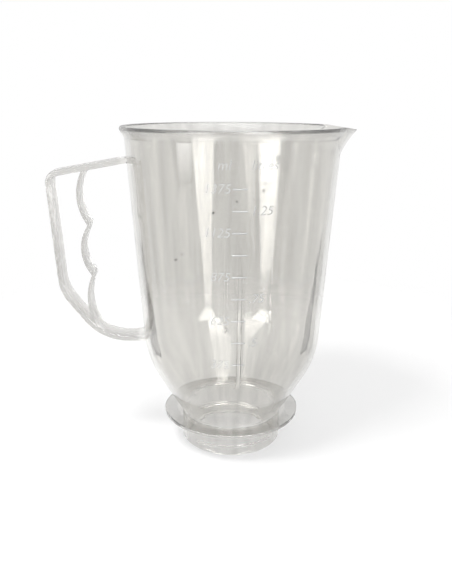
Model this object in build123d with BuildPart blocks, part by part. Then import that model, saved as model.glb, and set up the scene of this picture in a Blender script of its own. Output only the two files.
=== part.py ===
"""Clear moulded blender jar: one piece with loop handle, pour spout, ribs and threaded neck."""
import math
import os

from build123d import *

# Body of the jar, in millimetres and degrees, z up from the foot of the neck
height = 200.0
rim_radius = 64.0
wall = 2.6
wall_lean = 3.8
bowl_lean = 30.0

# Rim lip that flares outward, with its outer edge bevelled
lip_reach = 2.3
lip_edge = 1.7
lip_drop = 6.5
lip_bevel = 0.5

# Neck below the flange and the bore through it
bore_radius = 29.0
neck_wall = 2.9
neck_bevel = 1.3
throat_bevel = 2.5

# Flange that sits on the blender's base, thickest at the mould's parting plane
flange_top = 20.9
flange_reach = 43.6
flange_middle = 2.8
flange_draft = 1.5
flange_point = 1.5
foot_step = 0.7

# Two thread ribs on the neck, one on each half of the mould
thread_height = 6.4
thread_width = 2.8
thread_crest = 1.5
thread_depth = 1.4
thread_arc = 90.0
thread_tilt = 2.0

# Pour spout
spout_reach = 12.0
spout_angle = 47.0
spout_depth = 16.5
spout_tip_round = 4.0
spout_dip = 9.0
spout_foot_angle = 38.0
spout_bury = 0.5

# Ribs inside the jar that break the swirl
rib_count = 4
rib_top = 137.0
rib_foot = 54.0
rib_crest = 45.8
rib_end_rise = 37.0
rib_thick = 2.0

# Handle loop, drawn in the parting plane; distances run from the rim plane and the jar's axis
handle_width = 15.0
handle_draft = 2.5
handle_band = 4.0
handle_bevel = 0.6
arm_drop = 17.2
arm_fall = 8.5
grip_reach = 110.2
grip_length = 72.6
grip_lean = 3.4
sweep_reach = 81.4
arm_foot = 69.0
grip_top_round = 8.0
grip_foot_round = 28.0
sweep_round = 34.0

# Wavy finger bar between the arms
finger_bar = 2.2
finger_reach = 86.2
finger_foot_reach = 80.6
finger_bulge = 5.3
finger_shares = (0.335, 0.635, 1.0)
finger_shifts = (0.17, 0.33, 1.0)
finger_round = 2.5

# How far a cut runs on past the face that it opens
overrun = 1.0

# Values that follow from the sizes above
lean = math.radians(wall_lean)
slope = math.radians(bowl_lean)
neck_radius = bore_radius + neck_wall
foot_radius = neck_radius + foot_step
lip_radius = rim_radius + lip_reach
lip_foot = height - lip_drop
flange_foot = flange_top - flange_middle
flange_core = flange_top - flange_middle / 2


def wall_at(z, inset=0.0):
    """Radius of the straight wall at a height, moved inward by inset."""
    return rim_radius - (height - z) * math.tan(lean) - inset / math.cos(lean)


def bowl_at(z, inset=0.0):
    """Radius of the sloping bowl at a height, moved inward by inset."""
    return foot_radius + (z - flange_top) * math.tan(slope) - inset / math.cos(slope)


def corner(inset=0.0):
    """Where the lines of wall and bowl would meet."""
    z = (wall_at(0, inset) - bowl_at(0, inset)) / (math.tan(slope) - math.tan(lean))
    return (wall_at(z, inset), z)


# Between wall and bowl lies part of a ball with its centre on the axis
ball_centre = ((wall_at(0) * math.cos(lean) - bowl_at(0) * math.cos(slope))
               / (math.sin(slope) - math.sin(lean)))
ball_radius = wall_at(ball_centre) * math.cos(lean)


# Outside of the jar, turned about its axis
with BuildPart() as jar:
    with BuildSketch(Plane.XZ) as outside:
        with BuildLine():
            Polyline((0, height), (0, 0), (neck_radius, 0), (neck_radius, flange_core),
                     (foot_radius, flange_core), (foot_radius, flange_top), corner(),
                     (wall_at(lip_foot), lip_foot), (lip_radius, height - lip_edge),
                     (lip_radius - lip_bevel, height), (0, height))
        make_face()
        fillet(outside.vertices().sort_by_distance(corner())[0], ball_radius)
        chamfer(outside.vertices().sort_by_distance((neck_radius, 0))[0], neck_bevel)
    revolve(axis=Axis.Z)

# Flange: flat below, pointed a little at the parting plane and thinner away from it
with BuildPart() as flange:
    flange_arc = math.hypot(flange_reach, flange_point)
    flange_far = 2 * flange_reach
    flange_fall = flange_far * math.tan(math.radians(flange_draft))
    with BuildSketch(Plane.XY.offset(flange_foot)):
        with Locations((0, flange_point)):
            Circle(flange_arc)
        with Locations((0, -flange_point)):
            Circle(flange_arc, mode=Mode.INTERSECT)
    extrude(amount=flange_middle)
    with BuildSketch(Plane.YZ):
        Polygon((-flange_far, flange_top - flange_fall), (0, flange_top),
                (flange_far, flange_top - flange_fall), (flange_far, flange_top + flange_middle),
                (-flange_far, flange_top + flange_middle), align=None)
    extrude(amount=flange_far, both=True, mode=Mode.SUBTRACT)

# One thread rib, turned through its arc and centred on the front
with BuildPart() as thread:
    thread_root = neck_radius - neck_wall / 2
    thread_flank = (thread_width - thread_crest) / 2 / thread_depth
    root_half = thread_width / 2 + thread_flank * neck_wall / 2
    with BuildSketch(Plane.XZ.rotated((0, 0, -90 - thread_arc / 2))):
        Polygon((thread_root, thread_height - root_half),
                (neck_radius + thread_depth, thread_height - thread_crest / 2),
                (neck_radius + thread_depth, thread_height + thread_crest / 2),
                (thread_root, thread_height + root_half), align=None)
    revolve(axis=Axis.Z, revolution_arc=thread_arc)


def spout_section(z, root_radius, angle, apex, tip_round):
    """Pointed arch of the spout at a height: two arcs off the wall that meet in a rounded tip."""
    turn = math.radians(angle)
    root = (root_radius * math.cos(turn), root_radius * math.sin(turn))
    with BuildSketch(Plane.XY.offset(z)) as section:
        with BuildLine():
            TangentArc(root, (apex, 0), tangent=(math.sin(turn), -math.cos(turn)))
            TangentArc((root[0], -root[1]), (apex, 0), tangent=(math.sin(turn), math.cos(turn)))
            Line(root, (root[0], -root[1]))
        make_face()
        fillet(section.vertices().sort_by(Axis.X)[-1], tip_round)
    return section.sketch


# Spout outside and the hollow inside it
spout_apex = rim_radius + spout_reach
spout_foot = height - spout_depth
with BuildPart() as spout:
    add(spout_section(height, rim_radius - spout_bury, spout_angle, spout_apex, spout_tip_round))
    add(spout_section(spout_foot, wall_at(spout_foot, spout_bury), spout_foot_angle,
                      wall_at(spout_foot), spout_tip_round))
    loft(ruled=True)
with BuildPart() as spout_hollow:
    hollow_round = spout_tip_round - wall / 2
    add(spout_section(height, rim_radius - spout_bury - wall, spout_angle,
                      spout_apex - wall, hollow_round))
    add(spout_section(spout_foot, wall_at(spout_foot, spout_bury + wall), spout_foot_angle,
                      wall_at(spout_foot, wall), hollow_round))
    loft(ruled=True)

# Outline of the handle loop, carried a little way through the wall so that it joins
arm_top = height - arm_drop
root_x = -wall_at(arm_top, wall / 2) + handle_band
foot_x = -wall_at(arm_foot, wall / 2) + handle_band
arm_rise = arm_fall / (grip_reach - wall_at(arm_top))
grip_top = (-grip_reach, arm_top - arm_fall)
grip_foot = (-grip_reach + grip_length * math.tan(math.radians(grip_lean)), grip_top[1] - grip_length)
sweep = (-sweep_reach, arm_foot)
with BuildSketch(Plane.XZ) as loop:
    Polygon((root_x, arm_top + arm_rise * (root_x + wall_at(arm_top))), grip_top, grip_foot, sweep,
            (foot_x, arm_foot), align=None)
    fillet(loop.vertices().sort_by_distance(grip_top)[0], grip_top_round)
    fillet(loop.vertices().sort_by_distance(grip_foot)[0], grip_foot_round)
    fillet(loop.vertices().sort_by_distance(sweep)[0], sweep_round)

# Handle band with draft both ways from the parting plane
with BuildPart() as handle:
    with BuildSketch(Plane.XZ):
        add(loop.sketch_local)
        offset(amount=-handle_band, mode=Mode.SUBTRACT)
    extrude(amount=handle_width / 2, both=True, taper=handle_draft)
    for side in (handle.faces().sort_by(Axis.Y)[0], handle.faces().sort_by(Axis.Y)[-1]):
        chamfer(side.edges(), handle_bevel)

# Wavy bar: finger arcs one under the other, from arm to arm along the middle of the band
half_sweep = math.atan2(grip_foot[1] - sweep[1], sweep[0] - grip_foot[0]) / 2
sweep_centre = (sweep[0] + sweep_round * math.tan(half_sweep), arm_foot + sweep_round)
bar_top = arm_top - arm_rise * (finger_reach - wall_at(arm_top)) - handle_band / 2
bar_foot = sweep_centre[1] - math.sqrt((sweep_round - handle_band / 2) ** 2
                                       - (finger_foot_reach + sweep_centre[0]) ** 2)
with BuildPart() as fingers:
    with BuildSketch(Plane.XZ):
        with BuildLine() as wave:
            here = (-finger_reach, bar_top)
            for share, shift in zip(finger_shares, finger_shifts):
                there = (-finger_reach + shift * (finger_reach - finger_foot_reach),
                         bar_top - share * (bar_top - bar_foot))
                middle = ((here[0] + there[0]) / 2 - finger_bulge, (here[1] + there[1]) / 2)
                ThreePointArc(here, middle, there)
                here = there
            fillet(wave.vertices().sort_by(Axis.Y)[1:-1], finger_round)
        trace(wave.line, line_width=finger_bar)
    extrude(amount=handle_width / 2 - handle_bevel, both=True)

# One swirl rib: nothing at its top, a short sloping end at its foot
with BuildPart() as rib:
    with BuildSketch(Plane.XZ):
        end_rise = (rim_radius - rib_crest) * math.tan(math.radians(rib_end_rise))
        Polygon((wall_at(rib_top, wall), rib_top), (rib_crest, rib_foot),
                (rim_radius, rib_foot + end_rise), (rim_radius, rib_top), align=None)
    extrude(amount=rib_thick / 2, both=True)

# Room inside the jar, with the ribs left standing in it
with BuildPart() as cavity:
    with BuildSketch(Plane.XZ) as inside:
        inner_lip = (lip_radius - lip_edge, height)
        bore_top = (bore_radius, flange_top + (bore_radius - bowl_at(flange_top, wall)) / math.tan(slope))
        with BuildLine():
            Polyline((inner_lip[0], height + overrun), (0, height + overrun), (0, -overrun),
                     (bore_radius, -overrun), bore_top, corner(wall), (wall_at(lip_foot, wall), lip_foot),
                     inner_lip, (inner_lip[0], height + overrun))
        make_face()
        fillet(inside.vertices().sort_by_distance(corner(wall))[0], ball_radius - wall)
        chamfer(inside.vertices().sort_by_distance(bore_top)[0], throat_bevel)
    revolve(axis=Axis.Z)
    with PolarLocations(0, rib_count):
        add(rib.part, mode=Mode.SUBTRACT)

# Joining everything into the one moulded piece
with BuildPart() as whole:
    add(jar.part)
    add(flange.part)
    add(thread.part.rotate(Axis.Y, -thread_tilt))
    add(thread.part.rotate(Axis.Y, -thread_tilt).rotate(Axis.Z, 180))
    add(spout.part)
    add(handle.part)
    add(fingers.part)
    add(cavity.part, mode=Mode.SUBTRACT)
    add(spout_hollow.part, mode=Mode.SUBTRACT)
    with BuildSketch(Plane.XZ):
        dip_start = wall_at(height, wall)
        dip_end = spout_apex + spout_reach
        dip_fall = (dip_end - dip_start) * math.tan(math.radians(spout_dip))
        Polygon((dip_start, height), (dip_end, height + overrun), (dip_end, height - dip_fall), align=None)
    extrude(amount=rim_radius, both=True, mode=Mode.SUBTRACT)

whole.part.label = "jar"
os.makedirs("parts", exist_ok=True)
export_step(whole.part, "parts/jar.step")
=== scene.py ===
"""Looks of a clear moulded blender jar: its plastic, its raised scale and a small pale studio round it."""
import math

import bmesh
import bpy
from bpy.props import FloatProperty, FloatVectorProperty, IntProperty, PointerProperty
from mathutils import Euler, Matrix, Vector


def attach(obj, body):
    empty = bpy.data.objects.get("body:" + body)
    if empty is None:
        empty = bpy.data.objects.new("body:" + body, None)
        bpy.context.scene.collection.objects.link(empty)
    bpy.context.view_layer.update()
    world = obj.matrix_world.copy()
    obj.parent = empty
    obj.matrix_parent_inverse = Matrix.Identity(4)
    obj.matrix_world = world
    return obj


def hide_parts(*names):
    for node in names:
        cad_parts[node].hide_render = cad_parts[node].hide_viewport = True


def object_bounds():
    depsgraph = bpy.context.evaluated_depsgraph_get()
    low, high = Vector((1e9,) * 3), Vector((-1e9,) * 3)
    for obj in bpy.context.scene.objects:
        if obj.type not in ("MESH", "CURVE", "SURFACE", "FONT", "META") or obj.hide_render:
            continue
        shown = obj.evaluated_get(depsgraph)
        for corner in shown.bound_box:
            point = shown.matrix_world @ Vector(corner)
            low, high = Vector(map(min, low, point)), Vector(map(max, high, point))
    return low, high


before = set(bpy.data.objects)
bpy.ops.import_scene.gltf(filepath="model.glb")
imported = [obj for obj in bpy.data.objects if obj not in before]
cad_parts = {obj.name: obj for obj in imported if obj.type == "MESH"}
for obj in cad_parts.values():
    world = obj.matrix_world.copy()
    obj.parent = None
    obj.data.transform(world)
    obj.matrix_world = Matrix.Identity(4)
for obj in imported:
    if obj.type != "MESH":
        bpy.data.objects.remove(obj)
CAD_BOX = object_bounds()

bl_info = {
    "name": "Clear Blender Jar",
    "version": (1, 0, 0),
    "blender": (4, 5, 0),
    "location": "View3D > Sidebar > Jar",
    "description": "Dresses a clear blender jar, its raised scale and a pale studio",
    "category": "Object",
}

JAR_NODE = "jar"
BODY = "root"
PLASTIC_SLOT = "clear_plastic"
FROSTED = "frosted_plastic"
RIB = "rib"

# Mesh work on the moulded body
LIP_RADIUS = -CAD_BOX[0].y
SLACK = 0.0001  # for rounding in heights and radii
FLAT_ANGLE = math.radians(0.3)  # faces closer to one plane than this become one
EDGE_ANGLE = math.radians(40)  # sharper edges are eased
EDGE_SEGMENTS = 2
INNER_EDGE_FLOOR = 0.03  # inner corners are eased over this height
TURNED_SLEW = 0.06  # a turned face looks sideways by less than this
LEVEL_RISE = 0.999  # a level face looks up or down by more than this
CRISP_SHARE = 0.25  # what is left of the smooth angle on the lip

# Where the swirl ribs lie: over this height, below the lip's foot and inside the wall's outside
RIB_FLOOR = 0.035
RIB_DROP = 0.03
RIB_DEPTH = 0.001

# Where the finish changes: off the wall's line, over the lip's foot, out from the axis and up from the foot
HANDLE_EDGE = (0.0027, 0.005)
LIP_EDGE = (0.001, 0.0045)
FLANGE_EDGE = (0.0345, 0.036)
FLANGE_TOP = 0.0225

# Patterns in the plastic
FLOW_STRETCH = (5.0, 1.0, 6.0)
FLOW_SCALE = 1.6
FLOW_SPAN = (0.3, 0.7)
RUB_SCALE = 45.0
RUB_SPAN = (0.4, 0.75)
FROST_SCALE = 900.0

# Dark flecks in the front wall: turn from the front, height, share of light let through
FRONT_ANGLE = -90.0
FLECKS = (
    (-14.0, 0.1587, 0.03),
    (-35.9, 0.1313, 0.1),
    (-2.5, 0.1647, 0.5),
    (-31.6, 0.1349, 0.5),
    (10.4, 0.1701, 0.2),
)

# Beads and letters of the scale
BEAD_STEPS = 10
BEAD_BEND = 0.35  # how far a bead's ends lie back, as a share of its radius
SLANT = 0.22
STROKE_THINNING = 0.012  # as a share of the text size
LETTER_STEPS = 6

# Window cards, each as its foot and its top: elevation, turns of both ends, share of full brightness
WINDOWS = {
    "left_sill": ((-11.5, (-64, -46.5), 0.0), (-6.5, (-65.5, -45), 0.35)),
    "left_window": ((-6.5, (-65.5, -45), 0.7), (8.0, (-67, -33.5), 1.2)),
    "middle_pane": ((-4.5, (-36, -32), 0.2), (8.0, (-35, -15), 0.4)),
    "right_window": ((-11.5, (24.5, 34), 0.5), (8.0, (17, 48), 1.0)),
    "left_skylight": ((8.0, (-57, -21.5), 0.7), (39.0, (-36, -26.5), 0.2)),
    "right_skylight": ((8.0, (13, 32), 1.2), (39.0, (-6, 36), 0.32)),
    "high_window": ((56.0, (-45, 45), 1.0), (76.0, (-45, 45), 1.0)),
}

# Soft lamps: place, point that they face, width
LAMPS = {
    "key": ((-0.4, -0.3, 1.0), (0.0, 0.0, 0.05), 0.3),
    "fill": ((-0.5, -1.2, 0.25), (0.0, 0.0, 0.12), 0.6),
}

# Floor and light paths
FLOOR_SEGMENTS = 96
FLOOR_DROP = 0.0002
FLOOR_GRAIN = 30.0
FADE_START = 0.5  # as a share of the floor's radius
BOUNCES = 32


class JarWall(bpy.types.PropertyGroup):
    """Outside of the straight wall, which the scale is raised on."""
    height: FloatProperty(
        name="Height", description="Height of the rim above the foot", unit="LENGTH", default=CAD_BOX[1].z)
    rim_radius: FloatProperty(
        name="Rim Radius", description="Radius of the wall's line at the rim, lip left out", unit="LENGTH",
        default=0.064)
    lean: FloatProperty(
        name="Lean", description="Slope of the wall away from the axis", unit="ROTATION",
        default=math.radians(3.8))
    lip_foot: FloatProperty(
        name="Lip Foot", description="Height at which the lip flares off the wall", unit="LENGTH",
        default=0.1935)


class JarPlastic(bpy.types.PropertyGroup):
    """Finish of the clear plastic and of the frosted scale."""
    tint: FloatVectorProperty(
        name="Tint", description="Colour that light takes in passing one wall", subtype="COLOR", size=3,
        min=0.0, max=1.0, default=(0.835, 0.825, 0.8))
    ior: FloatProperty(name="Index", description="Refractive index of the plastic", default=1.57)
    gloss_low: FloatProperty(
        name="Clear Roughness", description="Roughness where the mould was polished", subtype="FACTOR",
        default=0.015)
    gloss_high: FloatProperty(
        name="Worn Roughness", description="Roughness where the plastic is rubbed", subtype="FACTOR",
        default=0.07)
    satin: FloatProperty(
        name="Satin Roughness", description="Roughness of the satin handle, lip and swirl ribs",
        subtype="FACTOR", default=0.26)
    handle_tone: FloatProperty(
        name="Handle Tone", description="Tone of the handle's plastic against the wall's", default=0.9)
    flange_tone: FloatProperty(
        name="Flange Tone", description="Tone of the flange's plastic against the wall's", default=0.8)
    # Above 1 this tone lightens the swirl ribs: a painted highlight along them.
    rib_tone: FloatProperty(
        name="Rib Tone", description="Tone of the swirl ribs' plastic against the wall's", default=1.16)
    flow_height: FloatProperty(
        name="Flow Height", description="Depth of the upright flow waves in the wall", unit="LENGTH",
        default=0.00006)
    flow_tone: FloatProperty(
        name="Flow Tone", description="How much the flow waves darken the plastic", subtype="FACTOR",
        default=0.14)
    fleck_radius: FloatProperty(
        name="Fleck Radius", description="Radius of a dark fleck", unit="LENGTH", default=0.001)
    frost_tone: FloatVectorProperty(
        name="Frost Tone", description="Darkest and lightest tone of the frosted scale", size=2,
        default=(0.6, 0.72))
    frost_roughness: FloatProperty(
        name="Frost Roughness", description="Roughness of the frosted scale", subtype="FACTOR", default=0.25)
    frost_clear: FloatProperty(
        name="Frost Clearness", description="Share of light that passes the frosted scale", subtype="FACTOR",
        default=0.3)


class JarScale(bpy.types.PropertyGroup):
    """Raised marks and numerals."""
    count: IntProperty(name="Marks", description="Number of marks", default=9)
    top: FloatProperty(
        name="Top Mark", description="Height of the highest mark", unit="LENGTH", default=0.171)
    step: FloatProperty(
        name="First Step", description="Drop from the highest mark to the next", unit="LENGTH",
        default=0.01135)
    growth: FloatProperty(
        name="Step Growth", description="How much longer each step is than the one above", unit="LENGTH",
        default=0.00029)
    length: FloatProperty(
        name="Mark Length", description="Length of a mark round the wall", unit="LENGTH", default=0.0078)
    bead: FloatProperty(
        name="Bead Radius", description="Radius of the bead that makes a mark", unit="LENGTH", default=0.0004)
    relief: FloatProperty(
        name="Relief", description="How far marks and numerals stand off the wall", unit="LENGTH",
        default=0.00022)
    numeral: FloatProperty(
        name="Numeral Size", description="Text size of the numerals", unit="LENGTH", default=0.0071)
    shift: FloatProperty(
        name="Shift", description="How far the marks sit towards the spout, below 0 towards the handle",
        unit="LENGTH", default=-0.0009)
    units_rise: FloatProperty(
        name="Units Rise", description="Height of the unit letters above the highest mark", unit="LENGTH",
        default=0.012)
    volume_step: IntProperty(name="Volume Step", description="Millilitres between two marks", default=125)
    top_volume: IntProperty(name="Top Volume", description="Millilitres at the highest mark", default=1375)


class JarStage(bpy.types.PropertyGroup):
    """Floor, lights and camera."""
    floor_radius: FloatProperty(
        name="Floor Radius", description="Radius of the floor", unit="LENGTH", default=0.42)
    floor_tone: FloatVectorProperty(
        name="Floor Tone", description="Darkest and lightest tone of the floor", size=2, default=(0.86, 0.89))
    floor_roughness: FloatProperty(
        name="Floor Roughness", description="Roughness of the floor", subtype="FACTOR", default=0.7)
    floor_shine: FloatProperty(
        name="Floor Shine", description="How much the floor mirrors", subtype="FACTOR", default=0.2)
    floor_glow: FloatProperty(
        name="Floor Glow", description="Share of plain white in what is seen of the floor", subtype="FACTOR",
        default=0.6)
    lens: FloatProperty(name="Lens", description="Focal length in millimetres", default=39.67)
    camera_place: FloatVectorProperty(
        name="Camera", description="Place of the camera", subtype="TRANSLATION", size=3,
        default=(-0.03074, -0.38201, 0.21443))
    camera_heading: FloatProperty(
        name="Heading", description="Turn from +Y towards +X", unit="ROTATION", default=math.radians(4.05))
    camera_pitch: FloatProperty(
        name="Pitch", description="How far the camera looks down", unit="ROTATION",
        default=math.radians(16.485))
    camera_roll: FloatProperty(
        name="Roll", description="Turn about the view line", unit="ROTATION", default=math.radians(0.263))
    window: FloatProperty(
        name="Window Light", description="Brightness of the window cards that the jar mirrors", default=12.0)
    window_distance: FloatProperty(
        name="Window Distance", description="How far the window cards stand off", unit="LENGTH", default=4.0)
    window_softness: FloatProperty(
        name="Window Softness", description="Share of a card's width that fades out", subtype="FACTOR",
        default=0.12)
    key: FloatProperty(
        name="Key Light", description="Power of the soft lamp at the upper left", unit="POWER", default=9.5)
    fill: FloatProperty(
        name="Fill Light", description="Power of the soft lamp in front", unit="POWER", default=6.0)
    room: FloatProperty(
        name="Room", description="Brightness of the room in front of the jar", default=0.6)


def add_node(tree, kind, links=None, **settings):
    """One node with its settings, and its inputs given by name as values or as sockets to link."""
    node = tree.nodes.new(kind)
    for key, value in settings.items():
        setattr(node, key, value)
    for key, value in (links or {}).items():
        if isinstance(value, bpy.types.NodeSocket):
            tree.links.new(value, node.inputs[key])
        else:
            node.inputs[key].default_value = value
    return node


def maths(tree, operation, first, second, clamp=False):
    """Output of one sum or comparison."""
    links = {0: first, 1: second}
    return add_node(tree, "ShaderNodeMath", links, operation=operation, use_clamp=clamp).outputs[0]


def ramp(tree, value, span, levels=(0.0, 1.0), shape="LINEAR"):
    """Output that goes from the first level to the second while the value crosses the span."""
    ends = {"From Min": span[0], "From Max": span[1], "To Min": levels[0], "To Max": levels[1]}
    return add_node(tree, "ShaderNodeMapRange", {"Value": value, **ends}, interpolation_type=shape).outputs[0]


def noise(tree, place, scale, detail):
    """Output of a fine pattern of light and dark."""
    links = {"Vector": place, "Scale": scale, "Detail": detail}
    return add_node(tree, "ShaderNodeTexNoise", links).outputs["Fac"]


def object_place(tree):
    """Output with the place on the piece, in the shared frame."""
    return add_node(tree, "ShaderNodeTexCoord").outputs["Object"]


def new_material(name):
    """Material with only a Principled shader and its output in the node tree."""
    material = bpy.data.materials.new(name)
    material.use_nodes = True
    tree = material.node_tree
    tree.nodes.clear()
    output = tree.nodes.new("ShaderNodeOutputMaterial")
    shader = tree.nodes.new("ShaderNodeBsdfPrincipled")
    tree.links.new(shader.outputs[0], output.inputs["Surface"])
    return material, tree, shader


def wall_radius(wall, z):
    """Radius of the wall's outside at a height."""
    return wall.rim_radius - (wall.height - z) * math.tan(wall.lean)


def handle_mask(tree, x, z, radius, wall):
    """Output that is 1 on the handle, which stands off the wall away from the spout, and 0 on the rest."""
    line = ramp(tree, z, (0.0, wall.height), (wall_radius(wall, 0.0), wall.rim_radius))
    proud = maths(tree, "SUBTRACT", radius, line)
    off = ramp(tree, proud, HANDLE_EDGE, shape="SMOOTHSTEP")
    return maths(tree, "MULTIPLY", off, maths(tree, "LESS_THAN", x, 0.0))


def fleck_tone(tree, tone, unrolled, wall, radius):
    """Tone with the dark flecks in it, which are round on the unrolled wall."""
    sheet = add_node(tree, "ShaderNodeMapping", {"Vector": unrolled, "Scale": (wall.rim_radius, 1.0, 1.0)})
    for turn, rise, left in FLECKS:
        spot = (wall.rim_radius * math.radians(FRONT_ANGLE + turn), 0.0, rise)
        away = add_node(tree, "ShaderNodeVectorMath", {0: sheet.outputs[0], 1: spot}, operation="DISTANCE")
        clean = ramp(tree, away.outputs["Value"], (0.0, radius), (left, 1.0), "SMOOTHSTEP")
        tone = maths(tree, "MULTIPLY", tone, clean)
    return tone


def clear_plastic(finish, wall):
    """See-through plastic with flow waves, rubbed patches and flecks, satin on the handle, lip and ribs, and
    the ribs lightened as a painted highlight.
    """
    material, tree, shader = new_material(PLASTIC_SLOT)
    place = object_place(tree)
    x, y, z = add_node(tree, "ShaderNodeSeparateXYZ", {"Vector": place}).outputs
    flat = add_node(tree, "ShaderNodeCombineXYZ", {"X": x, "Y": y}).outputs[0]
    radius = add_node(tree, "ShaderNodeVectorMath", {0: flat}, operation="LENGTH").outputs["Value"]
    angle = maths(tree, "ARCTAN2", y, x)
    unrolled = add_node(tree, "ShaderNodeCombineXYZ", {"X": angle, "Z": z}).outputs[0]
    stretched = add_node(tree, "ShaderNodeMapping", {"Vector": unrolled, "Scale": FLOW_STRETCH}).outputs[0]
    flow = noise(tree, stretched, FLOW_SCALE, detail=3.0)
    wave = add_node(tree, "ShaderNodeBump", {"Height": flow, "Strength": 1.0, "Distance": finish.flow_height})
    handle = handle_mask(tree, x, z, radius, wall)
    lip = ramp(tree, z, [wall.lip_foot + rise for rise in LIP_EDGE], shape="SMOOTHSTEP")
    rib = add_node(tree, "ShaderNodeAttribute", attribute_name=RIB).outputs["Fac"]
    flange = maths(tree, "MULTIPLY", ramp(tree, radius, FLANGE_EDGE), maths(tree, "LESS_THAN", z, FLANGE_TOP))
    rubbed = noise(tree, place, RUB_SCALE, detail=4.0)
    gloss = ramp(tree, rubbed, RUB_SPAN, (finish.gloss_low, finish.gloss_high))
    satin = maths(tree, "MAXIMUM", maths(tree, "MAXIMUM", handle, lip), rib)
    gloss = add_node(tree, "ShaderNodeMix", {"Factor": satin, "A": gloss, "B": finish.satin},
                     data_type="FLOAT")
    tone = ramp(tree, flow, FLOW_SPAN, (1.0 - finish.flow_tone, 1.0))
    # The ribs' tone is above 1, which paints a highlight along the swirl ribs.
    for zone, level in ((handle, finish.handle_tone), (flange, finish.flange_tone), (rib, finish.rib_tone)):
        tone = maths(tree, "MULTIPLY", tone, ramp(tree, zone, (0.0, 1.0), (1.0, level)))
    tone = fleck_tone(tree, tone, unrolled, wall, finish.fleck_radius)
    tint = add_node(tree, "ShaderNodeMix", {"Factor": 1.0, "A": (*finish.tint, 1.0), "B": tone},
                    data_type="RGBA", blend_type="MULTIPLY")
    shader.inputs["Transmission Weight"].default_value = 1.0
    shader.inputs["IOR"].default_value = finish.ior
    tree.links.new(tint.outputs["Result"], shader.inputs["Base Color"])
    tree.links.new(gloss.outputs[0], shader.inputs["Roughness"])
    tree.links.new(wave.outputs[0], shader.inputs["Normal"])
    return material


def frosted_plastic(finish):
    """Frosted plastic of the raised scale, which scatters the light that falls on it, made once."""
    if FROSTED in bpy.data.materials:
        return bpy.data.materials[FROSTED]
    material, tree, shader = new_material(FROSTED)
    grain = noise(tree, object_place(tree), FROST_SCALE, detail=3.0)
    relief = add_node(tree, "ShaderNodeBump", {"Height": grain, "Distance": finish.flow_height})
    shader.inputs["Roughness"].default_value = finish.frost_roughness
    shader.inputs["IOR"].default_value = finish.ior
    shader.inputs["Transmission Weight"].default_value = finish.frost_clear
    tree.links.new(ramp(tree, grain, (0.0, 1.0), finish.frost_tone), shader.inputs["Base Color"])
    tree.links.new(relief.outputs[0], shader.inputs["Normal"])
    return material


def link_mesh(name, mesh, material):
    """New object at the origin that shows the mesh in one material."""
    mesh.materials.clear()
    mesh.materials.append(material)
    piece = bpy.data.objects.new(name, mesh)
    bpy.context.scene.collection.objects.link(piece)
    return piece


def plain_mesh(holder):
    """Mesh of an object as its modifiers leave it, and the object itself taken away."""
    graph = bpy.context.evaluated_depsgraph_get()
    mesh = bpy.data.meshes.new_from_object(holder.evaluated_get(graph))
    holder.modifiers.clear()
    bpy.data.objects.remove(holder)
    return mesh


def round_edges(work, radius):
    """Ease the sharp edges of the turned body, inner corners only over the throat, short ones not at all."""
    bmesh.ops.dissolve_limit(work, angle_limit=FLAT_ANGLE, verts=work.verts, edges=work.edges)
    roomy = {point for point in work.verts
             if point.co.to_2d().length < LIP_RADIUS + radius
             and min(edge.calc_length() for edge in point.link_edges) > 2 * radius}
    sharp = [edge for edge in work.edges
             if (edge.is_convex or edge.verts[0].co.z > INNER_EDGE_FLOOR)
             and edge.calc_face_angle() > EDGE_ANGLE
             and roomy.issuperset(edge.verts)]
    bmesh.ops.bevel(work, geom=sharp, offset=radius, offset_type="OFFSET", segments=EDGE_SEGMENTS,
                    profile=0.5, affect="EDGES")
    bmesh.ops.triangulate(work, faces=work.faces)


def ordered_mesh(name, work):
    """Mesh of the worked body with its points and faces in an order that is the same each run."""
    points = sorted(work.verts, key=lambda point: tuple(point.co))
    order = {point: index for index, point in enumerate(points)}
    faces = []
    for face in work.faces:
        corners = [order[point] for point in face.verts]
        first = corners.index(min(corners))
        faces.append(corners[first:] + corners[:first])
    mesh = bpy.data.meshes.new(name)
    mesh.from_pydata([point.co for point in points], [], sorted(faces))
    return mesh


def mark_ribs(mesh, wall):
    """Face attribute that is 1 on the swirl ribs, which are not turned and lie inside the wall."""
    ribs = mesh.attributes.new(RIB, "FLOAT", "FACE").data
    for face, rib in zip(mesh.polygons, ribs):
        middle = face.center.to_2d()
        across = abs(middle.normalized().cross(face.normal.to_2d())) > TURNED_SLEW
        inside = middle.length < wall_radius(wall, face.center.z) - RIB_DEPTH
        rib.value = float(across and inside and RIB_FLOOR < face.center.z < wall.lip_foot - RIB_DROP)


def corner_facings(mesh, softness):
    """Corners as point, level or not, area and facing, swung round on turned faces and eased on ribs."""
    ribs = mesh.attributes[RIB].data
    corners = []
    for face in mesh.polygons:
        flat = face.normal.to_2d()
        out = face.center.to_2d().normalized()
        sides = [mesh.vertices[index].co.to_2d() for index in face.vertices]
        level = abs(face.normal.z) > LEVEL_RISE
        turned = (not level and abs(out.cross(flat)) < TURNED_SLEW
                  and max(side.length for side in sides) < LIP_RADIUS + SLACK)
        for index, side in zip(face.vertices, sides):
            facing = face.normal.copy()
            if ribs[face.index].value:
                inward = Vector((-side.x, -side.y, 0.0)).normalized()
                facing = facing.lerp(inward, softness)
            elif turned:
                side = side.normalized() * math.copysign(flat.length, out.dot(flat))
                facing = Vector((side.x, side.y, facing.z))
            corners.append((index, level, face.area, facing))
    return corners


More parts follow.
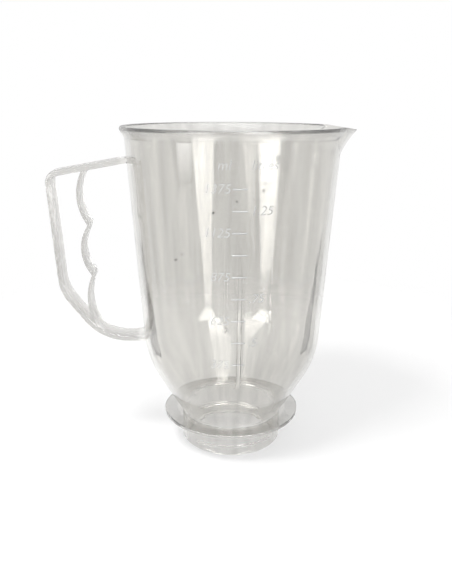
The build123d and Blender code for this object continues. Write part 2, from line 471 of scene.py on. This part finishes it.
def even_normals(mesh, spread, crisp, softness):
    """Normal of each corner: its own on level faces, else averaged over like ones, fewer above a height."""
    corners = corner_facings(mesh, softness)
    meeting = [[] for point in mesh.vertices]
    for index, level, area, facing in corners:
        meeting[index].append((facing, area))
    normals = []
    for index, level, area, facing in corners:
        mean = facing
        if not level:
            limit = spread
            if mesh.vertices[index].co.z > crisp:
                limit = CRISP_SHARE * spread
            alike = (other * size for other, size in meeting[index] if facing.angle(other) < limit)
            mean = sum(alike, Vector())
        normals.append(mean.normalized())
    return normals


class JAR_OT_body(bpy.types.Operator):
    """Dress the moulded jar in clear plastic."""
    bl_idname = "jar.body"
    bl_label = "Make Jar"

    smooth_angle: FloatProperty(
        name="Smooth Angle", description="Edges flatter than this are shaded smooth", unit="ROTATION",
        default=math.radians(50))
    rib_softness: FloatProperty(
        name="Rib Softness", description="How far the ribs are shaded like the wall behind them",
        subtype="FACTOR", default=0.6)
    edge_round: FloatProperty(
        name="Edge Rounding", description="How far back the sharp edges are eased", unit="LENGTH",
        default=0.0004)
    merge: FloatProperty(
        name="Merge", description="Points closer than this become one", unit="LENGTH", default=0.000001)

    def execute(self, context):
        wall = context.scene.jar_wall
        work = bmesh.new()
        work.from_mesh(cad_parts[JAR_NODE].data)
        bmesh.ops.remove_doubles(work, verts=work.verts, dist=self.merge)
        round_edges(work, self.edge_round)
        mesh = ordered_mesh("moulded_jar", work)
        work.free()
        mesh.shade_smooth()
        mark_ribs(mesh, wall)
        normals = even_normals(mesh, self.smooth_angle, wall.lip_foot - SLACK, self.rib_softness)
        mesh.normals_split_custom_set(normals)
        piece = link_mesh("moulded_jar", mesh, clear_plastic(context.scene.jar_plastic, wall))
        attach(piece, BODY)
        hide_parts(JAR_NODE)
        return {"FINISHED"}


def mark_height(scale, index):
    """Height of a mark, counted from the highest down."""
    return scale.top - index * scale.step - scale.growth * index * (index - 1) / 2


def mark_places(tree, given):
    """Output with the place of each mark, down the front of the leaning wall."""
    index = add_node(tree, "GeometryNodeInputIndex").outputs[0]
    pairs = maths(tree, "MULTIPLY", index, maths(tree, "SUBTRACT", index, 1.0))
    pairs = maths(tree, "MULTIPLY", pairs, 0.5)
    steps = maths(tree, "MULTIPLY", index, given["Step"])
    fall = maths(tree, "ADD", steps, maths(tree, "MULTIPLY", pairs, given["Growth"]))
    height = maths(tree, "SUBTRACT", given["Top"], fall)
    inward = maths(tree, "MULTIPLY", maths(tree, "SUBTRACT", given["Rim Height"], height), given["Taper"])
    radius = maths(tree, "SUBTRACT", given["Rim Radius"], inward)
    front = maths(tree, "MULTIPLY", maths(tree, "SUBTRACT", radius, given["Sink"]), -1.0)
    return add_node(tree, "ShaderNodeCombineXYZ", {"X": given["Shift"], "Y": front, "Z": height}).outputs[0]


def mark_bead(tree, given):
    """Output with one bead, bent a little round the wall."""
    half = maths(tree, "MULTIPLY", given["Length"], 0.5)
    bend = maths(tree, "MULTIPLY", given["Bead"], BEAD_BEND)
    start = add_node(tree, "ShaderNodeCombineXYZ", {"X": maths(tree, "MULTIPLY", half, -1.0), "Y": bend})
    end = add_node(tree, "ShaderNodeCombineXYZ", {"X": half, "Y": bend})
    line = add_node(tree, "GeometryNodeCurveQuadraticBezier", {
        "Resolution": BEAD_STEPS, "Start": start.outputs[0], "Middle": (0.0, 0.0, 0.0),
        "End": end.outputs[0]})
    section = add_node(tree, "GeometryNodeCurvePrimitiveCircle", {
        "Resolution": BEAD_STEPS, "Radius": given["Bead"]})
    return add_node(tree, "GeometryNodeCurveToMesh", {
        "Curve": line.outputs[0], "Profile Curve": section.outputs[0], "Fill Caps": True}).outputs[0]


def mark_tree(sizes, material):
    """Node tree that sets one bead for each mark down the wall's front, and its inputs' identifiers."""
    tree = bpy.data.node_groups.new("scale_marks", "GeometryNodeTree")
    sockets = {}
    for name, value in sizes.items():
        kind = "NodeSocketInt" if isinstance(value, int) else "NodeSocketFloat"
        sockets[name] = tree.interface.new_socket(name, in_out="INPUT", socket_type=kind).identifier
    tree.interface.new_socket("Geometry", in_out="OUTPUT", socket_type="NodeSocketGeometry")
    given = tree.nodes.new("NodeGroupInput").outputs
    places = mark_places(tree, given)
    points = add_node(tree, "GeometryNodePoints", {"Count": given["Count"], "Position": places})
    marks = add_node(tree, "GeometryNodeInstanceOnPoints", {
        "Points": points.outputs[0], "Instance": mark_bead(tree, given)})
    real = add_node(tree, "GeometryNodeRealizeInstances", {"Geometry": marks.outputs[0]})
    painted = add_node(tree, "GeometryNodeSetMaterial", {"Geometry": real.outputs[0], "Material": material})
    tree.links.new(painted.outputs[0], tree.nodes.new("NodeGroupOutput").inputs[0])
    return tree, sockets


class JAR_OT_marks(bpy.types.Operator):
    """Raise the scale's marks on the front of the wall."""
    bl_idname = "jar.marks"
    bl_label = "Make Marks"

    def execute(self, context):
        scale, wall = context.scene.jar_scale, context.scene.jar_wall
        material = frosted_plastic(context.scene.jar_plastic)
        sizes = {
            "Count": scale.count,
            "Top": scale.top,
            "Step": scale.step,
            "Growth": scale.growth,
            "Length": scale.length,
            "Bead": scale.bead,
            "Sink": scale.bead - scale.relief,
            "Rim Radius": wall.rim_radius,
            "Rim Height": wall.height,
            "Taper": math.tan(wall.lean),
            "Shift": scale.shift,
        }
        tree, sockets = mark_tree(sizes, material)
        holder = bpy.data.objects.new("marks_holder", bpy.data.meshes.new("marks_holder"))
        context.scene.collection.objects.link(holder)
        made = holder.modifiers.new("marks", "NODES")
        made.node_group = tree
        for name, value in sizes.items():
            made[sockets[name]] = value
        piece = link_mesh("scale_marks", plain_mesh(holder), material)
        piece.data.shade_smooth()
        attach(piece, BODY)
        return {"FINISHED"}


def text_mesh(words, size, depth, align):
    """Slanted text as a mesh in its own XY plane."""
    text = bpy.data.curves.new("numeral", "FONT")
    text.body = words
    text.size = size
    text.shear = SLANT
    text.align_x = align
    text.align_y = "CENTER"
    text.extrude = depth
    text.offset = -STROKE_THINNING * size
    text.resolution_u = LETTER_STEPS
    holder = bpy.data.objects.new("numeral", text)
    bpy.context.scene.collection.objects.link(holder)
    return plain_mesh(holder)


class JAR_OT_numerals(bpy.types.Operator):
    """Raise the scale's numerals beside the marks, millilitres on the left and litres on the right."""
    bl_idname = "jar.numerals"
    bl_label = "Make Numerals"

    gap: FloatProperty(
        name="Gap", description="Room between a mark and its numeral", unit="LENGTH", default=0.0012)

    def execute(self, context):
        scale, wall = context.scene.jar_scale, context.scene.jar_wall
        joined = bmesh.new()
        side = scale.length / 2 + self.gap
        self.wrap(joined, wall, scale, "ml", -side, scale.top + scale.units_rise, "RIGHT")
        self.wrap(joined, wall, scale, "litres", side, scale.top + scale.units_rise, "LEFT")
        for index in range(scale.count):
            volume = scale.top_volume - index * scale.volume_step
            z = mark_height(scale, index)
            if index % 2 == 0:
                self.wrap(joined, wall, scale, str(volume), -side, z, "RIGHT")
            elif volume % 1000:
                self.wrap(joined, wall, scale, f"{volume / 1000:g}".lstrip("0"), side, z, "LEFT")
        mesh = bpy.data.meshes.new("scale_numerals")
        joined.to_mesh(mesh)
        joined.free()
        piece = link_mesh("scale_numerals", mesh, frosted_plastic(context.scene.jar_plastic))
        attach(piece, BODY)
        return {"FINISHED"}

    def wrap(self, joined, wall, scale, words, x, z, align):
        """Lay one numeral on the wall, starting or ending at x along its front, and join it."""
        flat = text_mesh(words, scale.numeral, scale.relief, align)
        for point in flat.vertices:
            up = point.co.y * math.cos(wall.lean)
            out = wall_radius(wall, z + up) + point.co.z
            turn = (scale.shift + x + point.co.x) / wall_radius(wall, z)
            point.co = Vector((out * math.sin(turn), -out * math.cos(turn), z + up))
        joined.from_mesh(flat)
        bpy.data.meshes.remove(flat)


def mix_shaders(tree, share, first, second):
    """Output that goes from the first shader to the second by a share."""
    return add_node(tree, "ShaderNodeMixShader", {"Fac": share, 1: first, 2: second}).outputs[0]


def floor_material(stage):
    """Pale floor that fades out into the white beyond it."""
    material, tree, shader = new_material("pale_floor")
    place = object_place(tree)
    grain = noise(tree, place, FLOOR_GRAIN, detail=4.0)
    shader.inputs["Roughness"].default_value = stage.floor_roughness
    shader.inputs["Specular IOR Level"].default_value = stage.floor_shine
    tree.links.new(ramp(tree, grain, (0.0, 1.0), stage.floor_tone), shader.inputs["Base Color"])
    path = add_node(tree, "ShaderNodeLightPath").outputs
    seen = maths(tree, "ADD", path["Is Camera Ray"], path["Is Glossy Ray"])
    seen = maths(tree, "ADD", seen, path["Is Transmission Ray"], clamp=True)
    glow = maths(tree, "MULTIPLY", seen, stage.floor_glow)
    white = add_node(tree, "ShaderNodeEmission").outputs[0]
    lit = mix_shaders(tree, glow, shader.outputs[0], white)
    distance = add_node(tree, "ShaderNodeVectorMath", {0: place}, operation="LENGTH").outputs["Value"]
    fade = ramp(tree, distance, (FADE_START * stage.floor_radius, stage.floor_radius), shape="SMOOTHSTEP")
    clear = add_node(tree, "ShaderNodeBsdfTransparent").outputs[0]
    tree.links.new(mix_shaders(tree, fade, lit, clear), tree.nodes["Material Output"].inputs["Surface"])
    return material


def studio_world(stage):
    """White behind the jar and wherever the camera looks, greyer room in front of it."""
    world = bpy.data.worlds.new("studio")
    world.use_nodes = True
    tree = world.node_tree
    tree.nodes.clear()
    direction = add_node(tree, "ShaderNodeTexCoord").outputs["Generated"]
    axis = add_node(tree, "ShaderNodeSeparateXYZ", {"Vector": direction})
    depth = ramp(tree, axis.outputs["Y"], (-1.0, 1.0), (stage.room, 1.0))
    seen = add_node(tree, "ShaderNodeLightPath").outputs["Is Camera Ray"]
    level = add_node(tree, "ShaderNodeMix", {"Factor": seen, "A": depth, "B": 1.0}, data_type="FLOAT")
    light = add_node(tree, "ShaderNodeBackground", {
        "Color": (1.0, 1.0, 1.0, 1.0), "Strength": level.outputs[0]})
    tree.links.new(light.outputs[0], tree.nodes.new("ShaderNodeOutputWorld").inputs["Surface"])
    return world


def card_mesh(name, foot, top, distance):
    """Four-cornered card at a distance from the axis, with a map that runs across and up it."""
    corners = []
    for elevation, turns in ((foot[0], foot[1]), (top[0], top[1][::-1])):
        for turn in turns:
            x = distance * math.sin(math.radians(turn))
            y = -distance * math.cos(math.radians(turn))
            corners.append((x, y, distance * math.tan(math.radians(elevation))))
    mesh = bpy.data.meshes.new(name)
    mesh.from_pydata(corners, [], [(0, 1, 2, 3)])
    across = mesh.uv_layers.new(name="across").uv
    for corner, spot in zip(across, ((0, 0), (1, 0), (1, 1), (0, 1))):
        corner.vector = spot
    return mesh


def card_material(name, foot, top, stage):
    """Glow from the foot's level to the top's, soft at its sides, shown only where the jar mirrors it."""
    material = bpy.data.materials.new(name)
    material.use_nodes = True
    tree = material.node_tree
    tree.nodes.clear()
    place = add_node(tree, "ShaderNodeTexCoord").outputs["UV"]
    across, up, flat = add_node(tree, "ShaderNodeSeparateXYZ", {"Vector": place}).outputs
    level = ramp(tree, up, (0.0, 1.0), (foot[2] * stage.window, top[2] * stage.window))
    for span in ((0.0, stage.window_softness), (1.0, 1.0 - stage.window_softness)):
        level = maths(tree, "MULTIPLY", level, ramp(tree, across, span, shape="SMOOTHSTEP"))
    glow = add_node(tree, "ShaderNodeEmission", {"Strength": level}).outputs[0]
    clear = add_node(tree, "ShaderNodeBsdfTransparent").outputs[0]
    mirrors = add_node(tree, "ShaderNodeLightPath").outputs["Glossy Depth"]
    mirrored = maths(tree, "GREATER_THAN", mirrors, 0.5)
    output = tree.nodes.new("ShaderNodeOutputMaterial")
    tree.links.new(mix_shaders(tree, mirrored, clear, glow), output.inputs["Surface"])
    # As a sampled lamp the glow would skip the test for a mirrored ray
    material.cycles.emission_sampling = "NONE"
    return material


def window_card(name, foot, top, stage):
    """Glowing card far in front of the jar, given by angles, as a piece of the stage."""
    mesh = card_mesh(name, foot, top, stage.window_distance)
    card = link_mesh(name, mesh, card_material(name, foot, top, stage))
    card.visible_camera = False
    card.visible_diffuse = False
    card.visible_shadow = False


def soft_lamp(name, power, place, target, size):
    """Soft square lamp that faces a point and doesn't mirror in the plastic."""
    lamp = bpy.data.lights.new(name, "AREA")
    lamp.size = size
    lamp.energy = power
    holder = bpy.data.objects.new(name, lamp)
    holder.location = place
    holder.rotation_euler = (Vector(target) - Vector(place)).to_track_quat("-Z", "Y").to_euler()
    holder.visible_camera = False
    holder.visible_glossy = False
    holder.visible_transmission = False
    bpy.context.scene.collection.objects.link(holder)


def photo_camera(stage):
    """Camera at the fitted place, turned by heading, pitch and roll."""
    camera = bpy.data.cameras.new("camera")
    camera.lens = stage.lens
    eye = bpy.data.objects.new("camera", camera)
    facing = Euler((math.radians(90) - stage.camera_pitch, 0.0, -stage.camera_heading))
    roll = Matrix.Rotation(stage.camera_roll, 4, "Z")
    eye.matrix_world = Matrix.Translation(stage.camera_place) @ facing.to_matrix().to_4x4() @ roll
    bpy.context.scene.collection.objects.link(eye)
    return eye


class JAR_OT_stage(bpy.types.Operator):
    """Set up the floor, the lights and the camera."""
    bl_idname = "jar.stage"
    bl_label = "Make Stage"

    def execute(self, context):
        scene = context.scene
        stage = scene.jar_stage
        disc = bmesh.new()
        bmesh.ops.create_circle(disc, cap_ends=True, radius=stage.floor_radius, segments=FLOOR_SEGMENTS)
        mesh = bpy.data.meshes.new("floor")
        disc.to_mesh(mesh)
        disc.free()
        floor = link_mesh("floor", mesh, floor_material(stage))
        floor.location.z = -FLOOR_DROP
        scene.world = studio_world(stage)
        for name, (foot, top) in WINDOWS.items():
            window_card(name, foot, top, stage)
        for name, (place, target, size) in LAMPS.items():
            soft_lamp(name, getattr(stage, name), place, target, size)
        scene.camera = photo_camera(stage)
        scene.view_settings.view_transform = "Standard"
        scene.cycles.max_bounces = BOUNCES
        scene.cycles.transmission_bounces = BOUNCES
        scene.cycles.glossy_bounces = BOUNCES
        return {"FINISHED"}


class JAR_PT_panel(bpy.types.Panel):
    """Buttons and sizes of the jar."""
    bl_idname = "JAR_PT_panel"
    bl_label = "Clear Blender Jar"
    bl_space_type = "VIEW_3D"
    bl_region_type = "UI"
    bl_category = "Jar"

    def draw(self, context):
        for operator in OPERATORS:
            self.layout.operator(operator.bl_idname)
        for name, group in GROUPS.items():
            settings = getattr(context.scene, name)
            for key in group.__annotations__:
                self.layout.prop(settings, key)


GROUPS = {"jar_wall": JarWall, "jar_plastic": JarPlastic, "jar_scale": JarScale, "jar_stage": JarStage}
OPERATORS = (JAR_OT_body, JAR_OT_marks, JAR_OT_numerals, JAR_OT_stage)


def register():
    """Add the classes and their settings to Blender."""
    for item in (*GROUPS.values(), *OPERATORS, JAR_PT_panel):
        bpy.utils.register_class(item)
    for name, group in GROUPS.items():
        setattr(bpy.types.Scene, name, PointerProperty(type=group))


def unregister():
    """Take them out again."""
    for name in GROUPS:
        delattr(bpy.types.Scene, name)
    for item in (JAR_PT_panel, *OPERATORS, *GROUPS.values()):
        bpy.utils.unregister_class(item)


def main():
    """Build the jar, its scale and the stage."""
    register()
    bpy.ops.jar.body()
    bpy.ops.jar.marks()
    bpy.ops.jar.numerals()
    bpy.ops.jar.stage()


if __name__ == "__main__":
    main()
